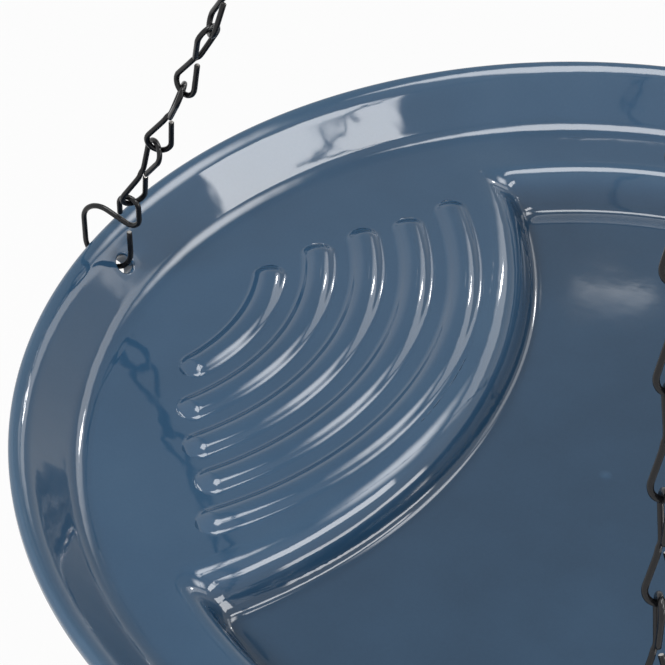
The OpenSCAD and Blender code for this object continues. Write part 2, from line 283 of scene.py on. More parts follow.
class Tree:
    """A node tree with short calls to add and join its nodes."""

    def __init__(self, tree):
        self.tree = tree

    def add(self, kind, *values, **named):
        """Adds a node, sets its options, and feeds its inputs in order; None leaves an input as it is."""
        node = self.tree.nodes.new(kind)
        for option, value in named.items():
            setattr(node, option, value)
        for socket, value in zip(node.inputs, values):
            self.feed(socket, value)
        return node

    def feed(self, socket, value):
        """Joins a socket to another, or sets its value."""
        if isinstance(value, bpy.types.Node):
            value = value.outputs[0]
        if isinstance(value, bpy.types.NodeSocket):
            self.tree.links.new(value, socket)
        elif value is not None:
            socket.default_value = value

    def math(self, operation, *values):
        """A sum on numbers."""
        return self.add("ShaderNodeMath", *values, operation=operation).outputs[0]

    def plus(self, first, second):
        """First and second together."""
        return self.math("ADD", first, second)

    def minus(self, first, second):
        """First less second."""
        return self.math("SUBTRACT", first, second)

    def times(self, first, second):
        """First times second."""
        return self.math("MULTIPLY", first, second)

    def leg(self, longest, other):
        """Third side of a right-angled triangle."""
        square = self.times(longest, longest)
        return self.math("SQRT", self.minus(square, self.times(other, other)))

    def pick(self, share, first, second):
        """The first number where share is 0, the second where it is 1."""
        return self.math("MULTIPLY_ADD", share, self.minus(second, first), first)

    def ramp(self, value, low, high, to_low=0.0, to_high=1.0, smooth=False):
        """Maps low..high to to_low..to_high."""
        kind = "SMOOTHSTEP" if smooth else "LINEAR"
        return self.add(
            "ShaderNodeMapRange", value, low, high, to_low, to_high, interpolation_type=kind).outputs[0]


def geometry_tree(name, inputs):
    """A geometry tree with the named inputs; returns it, its input node and its inputs' identifiers."""
    tree = bpy.data.node_groups.new(name, "GeometryNodeTree")
    tree.is_modifier = True
    face = tree.interface
    face.new_socket(name="Geometry", in_out="INPUT", socket_type="NodeSocketGeometry")
    face.new_socket(name="Geometry", in_out="OUTPUT", socket_type="NodeSocketGeometry")
    keys = {}
    for label, kind in inputs.items():
        keys[label] = face.new_socket(name=label, in_out="INPUT", socket_type="NodeSocket" + kind).identifier
    return Tree(tree), tree.nodes.new("NodeGroupInput"), keys


def finish_tree(t, geometry, material, extra=()):
    """Ends a geometry tree in Realize Instances and Set Material; extra holds selections with a material."""
    last = t.add("GeometryNodeRealizeInstances", geometry)
    last = t.add("GeometryNodeSetMaterial", last, None, material)
    for selection, other in extra:
        last = t.add("GeometryNodeSetMaterial", last, selection, other)
    t.add("NodeGroupOutput", last)


def apply_tree(obj, tree, keys, values):
    """Runs a geometry tree on an object and leaves the result as its plain mesh."""
    modifier = obj.modifiers.new(tree.name, "NODES")
    modifier.node_group = tree
    for label, value in values.items():
        modifier[keys[label]] = value
    bpy.context.view_layer.update()
    graph = bpy.context.evaluated_depsgraph_get()
    made = bpy.data.meshes.new_from_object(
        obj.evaluated_get(graph), preserve_all_data_layers=True, depsgraph=graph)
    obj.modifiers.clear()
    obj.data = made
    made.name = obj.name


def new_object(name, verts, edges=(), faces=()):
    """A mesh object at the origin."""
    mesh = bpy.data.meshes.new(name)
    mesh.from_pydata(verts, edges, faces)
    mesh.update()
    obj = bpy.data.objects.new(name, mesh)
    bpy.context.scene.collection.objects.link(obj)
    return obj


# Finishes


def new_material(name):
    """A material with one Principled shader; returns the material, its tree and the shader."""
    material = bpy.data.materials.new(name)
    material.use_nodes = True
    tree = Tree(material.node_tree)
    return material, tree, material.node_tree.nodes["Principled BSDF"]


def noise(t, where, scale, detail=2.0, roughness=0.5):
    """Noise of a given scale in cells a metre."""
    node = t.add("ShaderNodeTexNoise")
    t.feed(node.inputs["Vector"], where)
    node.inputs["Scale"].default_value = scale
    node.inputs["Detail"].default_value = detail
    node.inputs["Roughness"].default_value = roughness
    return node.outputs[0]


def mix_colour(t, share, first, second):
    """Mixes two colours by a share."""
    node = t.add("ShaderNodeMix", data_type="RGBA")
    t.feed(node.inputs[0], share)
    for socket, value in ((node.inputs[6], first), (node.inputs[7], second)):
        t.feed(socket, value if isinstance(value, bpy.types.NodeSocket) else (*value, 1))
    return node.outputs[2]


def shaded(tone, share):
    """A darker copy of a colour."""
    return [share * c for c in tone]


def sway(t, value, share, base):
    """Adds a share of a noise's swing about its middle to a number."""
    return t.math("MULTIPLY_ADD", t.minus(value, NOISE_MIDDLE), share, base)


def bump(t, shader, height, strength=1.0):
    """Fine relief in a surface."""
    node = t.add("ShaderNodeBump")
    node.inputs["Strength"].default_value = strength
    node.inputs["Distance"].default_value = RELIEF
    t.feed(node.inputs["Height"], height)
    t.feed(shader.inputs["Normal"], node)


def glaze_material(f):
    """Glossy slate-blue glaze, deeper in hollows and thinner over edges, with painted shade on the well's
    floor, wiped off the foot.
    """
    cloud_share, speck_share, fill_share, wipe_share = 0.9, 0.25, 0.5, 0.8
    clay_shade, clay_roughness = 0.72, 0.75
    grain_depth, skin_depth, swell_depth, ripple_depth = 3.0, 0.3, 6.0, 4.0
    material, t, shader = new_material("glaze")
    where = t.add("ShaderNodeTexCoord").outputs["Object"]
    # the fill attribute holds the glaze's pooling in hollows and the painted shade on the well's floor
    fill_and_shade = t.add("ShaderNodeAttribute", attribute_name="glaze_fill").outputs["Fac"]
    bare = t.add("ShaderNodeAttribute", attribute_name="bare_clay").outputs["Fac"]
    clouds = noise(t, where, scale=28, detail=3)
    specks = noise(t, where, scale=1400, roughness=0.6)
    grain = noise(t, where, scale=700, detail=4, roughness=0.7)
    depth = sway(t, clouds, cloud_share, t.times(fill_and_shade, fill_share))
    depth = sway(t, specks, speck_share, depth)
    # deeper colour where glaze pools, and painted shade over the well's floor
    body = mix_colour(t, t.ramp(depth, 0.0, 1.0), f.glaze, f.deep_glaze_and_shade)
    body = mix_colour(t, t.ramp(depth, 0.0, -1.0), body, f.glaze_thin)
    wiped = t.ramp(sway(t, clouds, wipe_share, bare), 0.45, 0.55, smooth=True)
    clay = mix_colour(t, t.ramp(grain, *NOISE_RANGE), f.clay, shaded(f.clay, clay_shade))
    t.feed(shader.inputs["Base Color"], mix_colour(t, wiped, body, clay))
    polish = t.ramp(noise(t, where, scale=60, detail=3), *NOISE_RANGE, to_low=0.035, to_high=0.075)
    t.feed(shader.inputs["Roughness"], t.math("MULTIPLY_ADD", wiped, clay_roughness, polish))
    shader.inputs["IOR"].default_value = 1.52
    skin = t.times(noise(t, where, scale=160), skin_depth)
    skin = t.math("MULTIPLY_ADD", grain, t.times(wiped, grain_depth), skin)
    ripple = t.times(noise(t, where, scale=110, detail=1), ripple_depth)
    ripple = t.math("MULTIPLY_ADD", noise(t, where, scale=30, detail=1), swell_depth, ripple)
    calm = t.ramp(fill_and_shade, 0.3, 1.2, to_low=1.0, to_high=0.15)
    bump(t, shader, t.math("MULTIPLY_ADD", ripple, calm, skin))
    return material


def lacquer_material(f):
    """Black lacquer over wire, a little uneven, with the steel just showing where it is rubbed."""
    rubbed_shade = 0.35
    material, t, shader = new_material("black_lacquer")
    where = t.add("ShaderNodeTexCoord").outputs["Object"]
    cover = noise(t, where, scale=420, detail=4, roughness=0.65)
    rubbed = t.ramp(cover, 0.74, 0.84, to_high=0.25, smooth=True)
    t.feed(shader.inputs["Base Color"], mix_colour(t, rubbed, f.lacquer, shaded(f.steel, rubbed_shade)))
    sheen = t.ramp(noise(t, where, scale=900, detail=3), *NOISE_RANGE, to_low=0.14, to_high=0.28)
    t.feed(shader.inputs["Roughness"], sheen)
    shader.inputs["IOR"].default_value = 1.40
    bump(t, shader, noise(t, where, scale=1500), strength=0.4)
    return material


def steel_material(f):
    """Bare sheared steel at the wire's cut ends."""
    shear_shade = 0.6
    material, t, shader = new_material("cut_steel")
    where = t.add("ShaderNodeTexCoord").outputs["Object"]
    shear = noise(t, where, scale=4200, detail=3, roughness=0.7)
    tone = mix_colour(t, t.ramp(shear, *NOISE_RANGE), f.steel, shaded(f.steel, shear_shade))
    t.feed(shader.inputs["Base Color"], tone)
    t.feed(shader.inputs["Roughness"], t.ramp(shear, *NOISE_RANGE, to_low=0.28, to_high=0.5))
    shader.inputs["Metallic"].default_value = 1.0
    bump(t, shader, shear, strength=0.5)
    return material


# Dish


def smooth_max(a, b, blend):
    """The larger of two numbers, rounded where they are within blend of each other."""
    return np.maximum(a, b) + np.maximum(blend - np.abs(a - b), 0) ** 2 / (4 * blend)


def smooth_step(t):
    """Goes from 0 to 1 with level ends."""
    t = np.clip(t, 0, 1)
    return t * t * (3 - 2 * t)


def bank(out, rise, draft, edge, foot):
    """Height of a drafted bank with rounded corners over its foot, at a distance out from its upper edge."""
    slope = math.pi / 2 - draft
    cut = math.tan(slope / 2)
    top = edge * cut
    base = -rise / math.tan(slope) - foot * cut
    crest = rise - edge + np.sqrt(np.maximum(edge**2 - np.minimum(top - out, edge * math.sin(slope)) ** 2, 0))
    hollow = foot - np.sqrt(np.maximum(foot**2 - np.clip(out - base, 0, foot * math.sin(slope)) ** 2, 0))
    face = rise + out * math.tan(slope)
    height = np.where(out > top - edge * math.sin(slope), crest, face)
    height = np.where(out < base + foot * math.sin(slope), hollow, height)
    height = np.where(out > top, rise, height)
    return np.where(out < base, 0.0, height)


def field_heights(d, x, y, under):
    """Height of the well and ledge over the floor at points x, y, or of the underside over the foot."""
    out = d.thickness / math.cos(d.well_draft) - d.thickness * math.tan(d.well_draft) if under else 0.0
    from_well = np.hypot(x, y) - (d.well_d / 2 + out)
    from_ledge = d.ledge_front - out - np.hypot(x + d.ledge_tip + d.ledge_front, y)
    past = smooth_max(from_well, from_ledge, d.corner)
    share = smooth_step((from_ledge - from_well) / (2 * d.corner) + 0.5)
    edges = (d.foot_inner, d.foot_inner) if under else (d.well_edge, d.ledge_edge)
    foot = d.foot_round if under else d.well_fillet
    height = 0
    for shift in np.linspace(-1, 1, EASE_SAMPLES):
        weight = math.cos(shift * math.pi / 2) ** 2 * 2 / (EASE_SAMPLES - 1)
        low, high = (bank(past + shift * d.ease, d.well_depth, d.well_draft, edge, foot) for edge in edges)
        height = height + weight * (low + (high - low) * share)
    return height


class Wall:
    """Section of the flared wall, with points on both faces by their distance up from the shelf."""

    def __init__(self, d):
        lip = d.thickness / 2
        self.lip_r = lip
        self.normal = np.array([-math.sin(d.flare), math.cos(d.flare)])
        self.along = np.array([math.cos(d.flare), math.sin(d.flare)])
        self.lip_c = np.array([d.rim_d / 2 - lip, -lip])
        self.top = self.lip_c + lip * self.normal
        corner_r = self.top[0] - (self.top[1] + d.shelf_depth) / math.tan(d.flare)
        fillet_r = corner_r - d.shelf_fillet * math.tan(d.flare / 2)
        self.fillet_c = np.array([fillet_r, d.shelf_fillet - d.shelf_depth])
        self.foot = self.fillet_c + d.shelf_fillet * -self.normal
        hole_r = d.rim_d / 2 - d.hole_inset
        self.hole_s = (hole_r - self.foot[0]) / self.along[0]
        self.edge_c = np.array([d.rim_d / 2 - d.rim_edge, -d.rim_edge])
        sink = float(np.dot(self.top - self.edge_c, self.normal))
        reach = math.sqrt((d.rim_roll - d.rim_edge) ** 2 - (d.rim_roll - sink) ** 2)
        start = float(np.dot(self.edge_c - self.top, self.along)) - reach
        self.roll_c = self.top + start * self.along - d.rim_roll * self.normal
        self.roll_end = math.pi / 2 + d.flare - math.atan(reach / (d.rim_roll - sink))
        self.roll_s = float(np.dot(self.top - self.foot, self.along)) + start

    def at(self, s, depth=0.0):
        """Point s along the wall from its foot and depth under its inner face."""
        return self.foot + s * self.along - depth * self.normal


def round_points(centre, radius, start, end, count):
    """Points on an arc, without its first."""
    turns = start + (end - start) * np.arange(1, count + 1) / count
    return centre + radius * np.stack([np.cos(turns), np.sin(turns)], 1)


def wall_rows(wall):
    """Distances along the wall at which its rings lie, evenly spaced across the holes."""
    low, high = wall.hole_s - HOLE_PATCH, wall.hole_s + HOLE_PATCH
    below = np.linspace(0, low, LOW_WALL_RINGS + 2)[1:-1]
    across = np.linspace(low, high, 2 * HOLE_CELLS + 1)
    return np.concatenate([below, across])


def rim_section(d, wall):
    """Rings from the shelf over fillet, wall and rim to the underside; returns their points and the first
    ring of a hole's patch inside and outside."""
    rows = wall_rows(wall)
    shelf = -d.shelf_depth
    inner = [[(WALL_START, shelf), (wall.fillet_c[0], shelf)]]
    foot_turn = d.flare - math.pi / 2
    inner.append(round_points(wall.fillet_c, d.shelf_fillet, -math.pi / 2, foot_turn, FILLET_RINGS))
    inner.append([wall.at(s) for s in rows] + [wall.at(wall.roll_s)])
    lip = np.concatenate([
        round_points(wall.roll_c, d.rim_roll, math.pi / 2 + d.flare, wall.roll_end, ROLL_RINGS),
        round_points(wall.edge_c, d.rim_edge, wall.roll_end, 0, EDGE_RINGS),
        [wall.lip_c + np.array([wall.lip_r, 0.0])],
        round_points(wall.lip_c, wall.lip_r, 0, foot_turn, LIP_RINGS)])
    outer = [[wall.at(s, d.thickness) for s in rows[::-1]] + [wall.at(0, d.thickness)]]
    outer.append(round_points(
        wall.fillet_c, d.shelf_fillet + d.thickness, foot_turn, -math.pi / 2, FILLET_RINGS))
    outer.append([(WALL_START, shelf - d.thickness)])
    inner, outer = np.concatenate(inner), np.concatenate(outer)
    first_in = len(inner) - 1 - (2 * HOLE_CELLS + 1)
    first_out = len(inner) + len(lip)
    return np.concatenate([inner, lip, outer]), first_in, first_out


def column_angles(holes):
    """Directions of the columns, close together over the ledge and at the holes, and each hole's middle
    column with its direction."""
    fine = LEDGE_SPAN / LEDGE_COLUMNS
    middle = holes[0]
    others = sorted((h - middle) % TURN + middle for h in holes[1:])
    blocks = [(middle, LEDGE_COLUMNS // 2)] + [(h, HOLE_CELLS) for h in others]
    turns, middles = [], []

    def plain_columns(end):
        """Columns between the last one and a direction."""
        gap = end - turns[-1]
        steps = math.ceil(gap / PLAIN_STEP)
        turns.extend([turns[-1] + gap * i / steps for i in range(1, steps)])

    for centre, cells in blocks:
        if turns:
            plain_columns(centre - cells * fine)
        middles.append((len(turns) + cells, centre))
        turns.extend([centre + (i - cells) * fine for i in range(2 * cells + 1)])
    plain_columns(turns[0] + TURN)
    return np.array(turns), middles


def dish_grid(d, wall, turns):
    """Points of the dish's grid, rings by columns, and the rings' places along the section."""
    section, first_in, first_out = rim_section(d, wall)
    rings = int(round((WALL_START - FIELD_INNER) / FIELD_STEP))
    field_r = np.concatenate([CORE_RINGS, np.linspace(FIELD_INNER, WALL_START, rings + 1)[:-1]])
    foot_rings = int(round((WALL_START - FIELD_INNER) / FOOT_STEP))
    under_r = np.concatenate([np.linspace(WALL_START, FIELD_INNER, foot_rings + 1)[1:], CORE_RINGS[::-1]])
    cos, sin = np.cos(turns), np.sin(turns)

    def ring_points(r, z):
        """Rings of radius r at heights z, one height or one for each column."""
        r = np.broadcast_to(r, np.shape(z))
        return np.stack([r * cos, r * sin, z], -1)

    floor = -d.shelf_depth - d.well_depth
    x, y = field_r[:, None] * cos, field_r[:, None] * sin
    top = ring_points(field_r[:, None], floor + field_heights(d, x, y, False))
    rim = ring_points(section[:, :1], np.repeat(section[:, 1:], len(turns), 1))
    x, y = under_r[:, None] * cos, under_r[:, None] * sin
    under = ring_points(under_r[:, None], floor - d.thickness + field_heights(d, x, y, True))
    grid = np.concatenate([top, rim, under])
    runs = [field_r, WALL_START + np.cumsum(np.r_[0, np.hypot(*np.diff(section, axis=0).T)])]
    runs.append(runs[1][-1] + WALL_START - under_r)
    first = len(field_r)
    return grid, np.concatenate(runs), (first + first_in, first + first_out), (first, first + len(section))


def grid_normals(grid, runs, turns):
    """Outward normals of the grid, from its own slopes along rings and columns."""
    def slope(before, here, after, h1, h2):
        back = -h2 / (h1 * (h1 + h2)) * before
        ahead = h1 / (h2 * (h1 + h2)) * after
        return back + (h2 - h1) / (h1 * h2) * here + ahead

    closed = np.r_[turns[-1] - TURN, turns, turns[0] + TURN]
    step = np.diff(closed)
    across = slope(np.roll(grid, 1, 1), grid, np.roll(grid, -1, 1), step[:-1, None], step[1:, None])
    along = np.empty_like(grid)
    step = np.diff(runs)[:, None, None]
    along[1:-1] = slope(grid[:-2], grid[1:-1], grid[2:], step[:-1], step[1:])
    along[0], along[-1] = grid[1] - grid[0], grid[-1] - grid[-2]
    normal = np.cross(along, across)
    return normal / np.linalg.norm(normal, axis=2, keepdims=True)


def top_normals(d, x, y):
    """Outward normals of the well and ledge, from the slopes of their heights."""
    def slope(dx, dy):
        rise = field_heights(d, x + dx, y + dy, False) - field_heights(d, x - dx, y - dy, False)
        return rise / (2 * SLOPE_STEP)

    normal = np.stack([-slope(SLOPE_STEP, 0), -slope(0, SLOPE_STEP), np.ones_like(x)], -1)
    return normal / np.linalg.norm(normal, axis=2, keepdims=True)


def glaze_fill(grid, normals):
    """How far glaze has run into a hollow, over zero, or off an edge, under zero, by the surface's bend."""
    def bend(axis):
        move = np.roll(grid, -1, axis) - np.roll(grid, 1, axis)
        turn = np.roll(normals, -1, axis) - np.roll(normals, 1, axis)
        return (turn * move).sum(2) / np.maximum((move**2).sum(2), LEAST_MOVE)

    sharp = bend(0) + bend(1)
    sharp[[0, 1, -1, -2]] = 0
    for _ in range(FILL_PASSES):
        sharp = (np.roll(sharp, 1, 0) + 2 * sharp + np.roll(sharp, -1, 0)) / 4
        sharp = (np.roll(sharp, 1, 1) + 2 * sharp + np.roll(sharp, -1, 1)) / 4
    return np.clip(-sharp * FILL_BEND, -1, 1)


def hole_rings(d, wall, centre, square_in, square_out):
    """Rings of a hanging hole, from its patch on the wall's inner face through to the one on the outer face,
    each with its normals. The squares are the patches' own border points."""
    u = np.array([math.cos(centre), math.sin(centre), 0])
    side = np.array([-u[1], u[0], 0])
    axis = wall.normal[0] * u + wall.normal[1] * np.array([0, 0, 1])
    slope = wall.along[0] * u + wall.along[1] * np.array([0, 0, 1])
    radius = d.hole_d / 2
    rings = []
    for square, depth, sign in ((square_in, 0.0, 1), (square_out, d.thickness, -1)):
        mid_r, mid_z = wall.at(wall.hole_s, depth)
        middle = mid_r * u + np.array([0, 0, mid_z])
        flat = np.stack([(square - middle) @ side, (square - middle) @ slope], 1)
        out = flat / np.linalg.norm(flat, axis=1, keepdims=True)
        spoke = out[:, :1] * side + out[:, 1:] * slope
        lift = ((square - middle) @ axis)[:, None] * axis
        share = (radius + HOLE_EDGE) / np.linalg.norm(flat, axis=1, keepdims=True)
        made = []
        for t in HOLE_RINGS:
            blend = 1 - t + t * share
            points = middle + blend * (square - middle - lift) + blend**2 * lift
            made.append((points, np.tile(sign * axis, (len(square), 1))))
        for a in HOLE_TURNS:
            reach = radius + HOLE_EDGE * (1 - math.sin(a))
            drop = -sign * HOLE_EDGE * (1 - math.cos(a)) * axis
            made.append((middle + reach * spoke + drop, math.cos(a) * sign * axis - math.sin(a) * spoke))
        rings.append(made)
    return rings[0] + rings[1][::-1]


def patch_border(ring, column, columns):
    """Ring and column of each border point of a hole's patch, in order round it."""
    n = 2 * HOLE_CELLS
    path = [(0, j) for j in range(n)] + [(i, n) for i in range(n)]
    path += [(n, n - j) for j in range(n)] + [(n - i, 0) for i in range(n)]
    return [(ring + i, (column - HOLE_CELLS + j) % columns) for i, j in path]


def rib_tree(count):
    """Adds concentric ribs to the ledge: one section, a round crest with filled roots, swept along each rib's
    arc, drawn in to a dome at both ends and let down there."""
    spans = [f"Span {k + 1}" for k in range(count)]
    t, given, keys = geometry_tree("add_ribs", {
        "Centre": "Float", "Level": "Float", "First Radius": "Float", "Pitch": "Float", "Crest": "Float",
        "Root": "Float", "Flank": "Float", "Glaze": "Material", **{label: "Float" for label in spans}})
    value = given.outputs
    lean = t.math("SINE", value["Flank"])
    sink = t.minus(1.0, t.math("COSINE", value["Flank"]))
    crest_w = t.times(value["Crest"], lean)
    root_w = t.times(value["Root"], lean)
    half_w = t.plus(crest_w, root_w)
    end_run = t.times(half_w, RIB_END)

    line = t.add("GeometryNodeCurvePrimitiveLine")
    t.feed(line.inputs["Start"], (-1, 0, 0))
    t.feed(line.inputs["End"], (1, 0, 0))
    points = t.add("GeometryNodeResampleCurve", line)
    t.feed(points.inputs["Count"], RIB_POINTS)
    across = t.add("ShaderNodeSeparateXYZ", t.add("GeometryNodeInputPosition")).outputs[0]
    across = t.times(across, t.plus(half_w, RIB_SKIRT))
    gap = t.math("ABSOLUTE", across)
    crest_side = t.leg(value["Crest"], t.math("MINIMUM", gap, crest_w))
    crest_foot = t.times(value["Crest"], t.math("COSINE", value["Flank"]))
    crest_drop = t.minus(crest_foot, crest_side)
    crest_rise = t.minus(t.times(value["Root"], sink), crest_drop)
    from_root = t.math("MAXIMUM", t.minus(half_w, gap), 0.0)
    root_rise = t.minus(value["Root"], t.leg(value["Root"], t.math("MINIMUM", from_root, root_w)))
    rise = t.pick(t.math("LESS_THAN", gap, crest_w), root_rise, crest_rise)
    place = t.add("ShaderNodeCombineXYZ", across, t.minus(RIB_SINK, rise), 0.0)
    section = t.add("GeometryNodeSetPosition", points, None, place)
    section = t.add("GeometryNodeSetSplineCyclic", section, None, True)

    arcs = t.add("GeometryNodeJoinGeometry")
    for k, label in enumerate(spans):
        radius = t.math("MULTIPLY_ADD", value["Pitch"], float(k), value["First Radius"])
        half = t.plus(value[label], t.math("DIVIDE", end_run, radius))
        sweep = t.times(half, 2.0)
        arc = t.add("GeometryNodeCurveArc", mode="RADIUS")
        t.feed(arc.inputs["Resolution"], t.math("DIVIDE", t.times(sweep, radius), RIB_STEP))
        t.feed(arc.inputs["Radius"], radius)
        t.feed(arc.inputs["Start Angle"], t.times(half, -1.0))
        t.feed(arc.inputs["Sweep Angle"], sweep)
        t.feed(arcs.inputs[0], arc)
    moved = t.add("GeometryNodeTransform", arcs)
    t.feed(moved.inputs["Translation"], t.add(
        "ShaderNodeCombineXYZ", t.times(value["Centre"], -1.0), 0.0, value["Level"]))
    upright = t.add("GeometryNodeSetCurveNormal", moved, mode="Z_UP")
    along = t.add("GeometryNodeSplineParameter").outputs["Length"]
    total = t.add("GeometryNodeSplineLength").outputs["Length"]
    to_end = t.math("MINIMUM", along, t.minus(total, along))
    inward = t.math("MAXIMUM", t.minus(1.0, t.math("DIVIDE", to_end, end_run)), 0.0)
    dome = t.math("MAXIMUM", t.leg(1.0, t.math("MINIMUM", inward, 1.0)), RIB_TIP)
    sunk = t.ramp(to_end, 0.0, end_run, smooth=True)
    marked = t.add("GeometryNodeStoreNamedAttribute", upright, None, RIB_RISE, sunk)
    ribs = t.add("GeometryNodeCurveToMesh", marked, section, dome, True)
    place = t.add("ShaderNodeSeparateXYZ", t.add("GeometryNodeInputPosition")).outputs
    share = t.add("GeometryNodeInputNamedAttribute", RIB_RISE, data_type="FLOAT").outputs["Attribute"]
    lift = t.times(t.minus(place[2], value["Level"]), share)
    ribs = t.add("GeometryNodeSetPosition", ribs, None, t.add(
        "ShaderNodeCombineXYZ", place[0], place[1], t.plus(lift, value["Level"])))
    ribs = t.add("GeometryNodeRemoveAttribute", ribs, RIB_RISE)
    joined = t.add("GeometryNodeJoinGeometry")
    t.feed(joined.inputs[0], ribs)
    t.feed(joined.inputs[0], value["Geometry"])
    finish_tree(t, joined, value["Glaze"])
    return t.tree, keys


def hole_directions():
    """Direction of each rim hook, and so of its hole, from the axis."""
    spots = [sum(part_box("rim_hook_" + c), Vector()) / 2 for c in CHAINS]
    return [math.atan2(p.y, p.x) % TURN for p in spots]


def pierced_faces(d, wall, grid, patches, middles):
    """Faces of the dish's grid and its two poles, pierced by the holes; returns them with the points and the
    normals of the holes' own rings."""
    rings, columns = grid.shape[:2]
    top_pole, foot_pole = rings * columns, rings * columns + 1
    index = np.arange(rings * columns).reshape(rings, columns)
    gone = np.zeros((rings - 1, columns), bool)
    extra, extra_normals, faces = [], [], []
    count = rings * columns + 2
    cells = 2 * HOLE_CELLS
    for column, centre in middles:
        inner = patch_border(patches[0], column, columns)
        outer = [(patches[1] + patches[0] + cells - ring, c) for ring, c in inner]
        for first in patches:
            gone[first:first + cells, (column - HOLE_CELLS + np.arange(cells)) % columns] = True
        squares = [np.array([grid[p] for p in border]) for border in (inner, outer)]
        loops = [[index[p] for p in inner]]
        for points, normals in hole_rings(d, wall, centre, *squares):
            loops.append(list(range(count, count + len(points))))
            extra.append(points)
            extra_normals.append(normals)
            count += len(points)
        loops.append([index[p] for p in outer])
        m = len(inner)
        for a, b in zip(loops, loops[1:]):
            faces += [(a[k], b[k], b[(k + 1) % m], a[(k + 1) % m]) for k in range(m)]

    keep = np.argwhere(~gone)
    nxt = (keep[:, 1] + 1) % columns
    quads = np.stack([
        index[keep[:, 0], keep[:, 1]], index[keep[:, 0] + 1, keep[:, 1]],
        index[keep[:, 0] + 1, nxt], index[keep[:, 0], nxt]], 1)
    for k in range(columns):
        m = (k + 1) % columns
        faces.append((top_pole, index[0, k], index[0, m]))
        faces.append((foot_pole, index[-1, m], index[-1, k]))
    faces += [tuple(q) for q in quads.tolist()]
    return faces, extra, extra_normals


def make_dish(d, f):
    """The glazed dish as one closed skin with three through holes, and its ribs."""
    wall = Wall(d)
    turns, middles = column_angles(hole_directions())
    grid, runs, patches, ends = dish_grid(d, wall, turns)
    rings, columns = grid.shape[:2]
    faces, extra, extra_normals = pierced_faces(d, wall, grid, patches, middles)
    poles = np.array([[0, 0, grid[0, :, 2].mean()], [0, 0, grid[-1, :, 2].mean()]])
    points = np.concatenate([grid.reshape(-1, 3), poles, *extra]) + np.array([0, 0, RIM_Z])
    count = len(points)

    dish = new_object("glazed_dish", points.tolist(), (), faces)
    material = glaze_material(f)
    tree, keys = rib_tree(len(d.rib_spans))
    shelf = RIM_Z - d.shelf_depth
    apply_tree(dish, tree, keys, {
        "Centre": d.rib_centre, "Level": shelf, "First Radius": d.rib_first, "Pitch": d.rib_pitch,
        "Crest": d.rib_crest, "Root": d.rib_root, "Flank": d.rib_flank, "Glaze": material,
        **{f"Span {k + 1}": span for k, span in enumerate(d.rib_spans)}})

    mesh = dish.data
    made = np.zeros(len(mesh.vertices) * 3)
    mesh.vertices.foreach_get("co", made)
    if not np.allclose(made[:3 * count], points.ravel(), atol=SAME_POINT):
        raise RuntimeError("the dish's own points don't come first")
    ribs = made.reshape(-1, 3)[count:]
    ribs[:, 2] += field_heights(d, ribs[:, 0], ribs[:, 1], False) - d.well_depth
    mesh.vertices.foreach_set("co", made)
    mesh.update()
    grid = points[:rings * columns].reshape(rings, columns, 3)
    normals = grid_normals(grid, runs, turns)
    normals[:ends[0]] = top_normals(d, grid[:ends[0], :, 0], grid[:ends[0], :, 1])
    mesh.vertex_normals.foreach_get("vector", made)
    rib_normals = made.reshape(-1, 3)[count:]
    flat = shelf - d.well_depth - d.thickness
    bare = np.zeros((rings, columns))
    bare[ends[1]:] = smooth_step(1 - (grid[ends[1]:, :, 2] - flat) / FOOT_FADE)
    pad = np.zeros(len(mesh.vertices) - rings * columns)
    depth = shelf - grid[:ends[0], :, 2]
    fill_and_shade = glaze_fill(grid, normals)
    # painted shade: the well's floor is darkened, stored together with the glaze's pooling
    fill_and_shade[:ends[0]] += WELL_SHADE * smooth_step(depth / d.well_depth)
    set_attribute(mesh, "glaze_fill", np.r_[fill_and_shade.ravel(), pad])
    pad[1] = 1.0
    set_attribute(mesh, "bare_clay", np.r_[bare.ravel(), pad])
    smooth = np.concatenate([normals.reshape(-1, 3), [[0, 0, 1], [0, 0, -1]], *extra_normals, rib_normals])
    mesh.polygons.foreach_set("use_smooth", np.ones(len(mesh.polygons), bool))
    mesh.normals_split_custom_set_from_vertices(smooth.tolist())
    seat(dish, "dish", "dish")


def set_attribute(mesh, name, values):
    """Stores one number for each point."""
    mesh.attributes.new(name, "FLOAT", "POINT").data.foreach_set("value", values.astype(np.float32))


def seat(piece, body, node):
    """Rides a finished piece on its body, in place of its node."""
    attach(piece, body)
    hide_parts(node)


# Bent wire


def bent_path(start, heading, runs):
    """Points of a flat bent wire: (0, length) runs straight, (radius, turn) bends, leftwards above zero."""
    points = [np.array(start, float)]
    for radius, amount in runs:
        here = points[-1]
        if radius == 0:
            points.append(here + amount * np.array([math.cos(heading), math.sin(heading)]))
            continue
        hand = math.copysign(radius, amount)
        centre = here + hand * np.array([-math.sin(heading), math.cos(heading)])
        steps = math.ceil(abs(amount) / BEND_STEP)
        for k in range(1, steps + 1):
            a = heading + amount * k / steps
            points.append(centre + hand * np.array([math.sin(a), -math.cos(a)]))
        heading += amount
    return np.array(points)


def hook_path(d, w):
    """Rim hook in the plane of radius and height from the rim, from its free end to its eye."""
    wall = Wall(d)
    middle = wall.at(wall.hole_s, d.thickness / 2)
    bend = middle + w.hook_bend * np.array([math.cos(w.hook_bend_rise), math.sin(w.hook_bend_rise)])
    crown = w.hook_rise - w.crown_bend
    return bent_path((bend[0] - w.hook_bend, w.hook_tip), -math.pi / 2, [
        (0, w.hook_tip - bend[1]), (w.hook_bend, math.pi), (0, crown - bend[1]),
        (w.crown_bend, w.crown_turn), (0, w.crown_run), (w.eye_bend, -w.crown_turn),
        (0, w.eye_side), (w.eye_bend, -math.pi), (0, w.eye_side)])


def hanger_path(w):
    """Hanging hook in XZ: two bends joined by the line that touches both."""
    top, low = w.hanger_top + w.hanger_wire / 2, w.hanger_eye + w.hanger_wire / 2
    apart = w.hanger_len - w.hanger_top - w.hanger_eye
    lean = math.asin((top + low) / apart)
    return bent_path((-top, -w.hanger_top - w.hanger_tip), math.pi / 2, [
        (0, w.hanger_tip), (top, -math.pi - lean), (0, apart * math.cos(lean)),
        (low, lean + math.pi + w.hanger_close)])


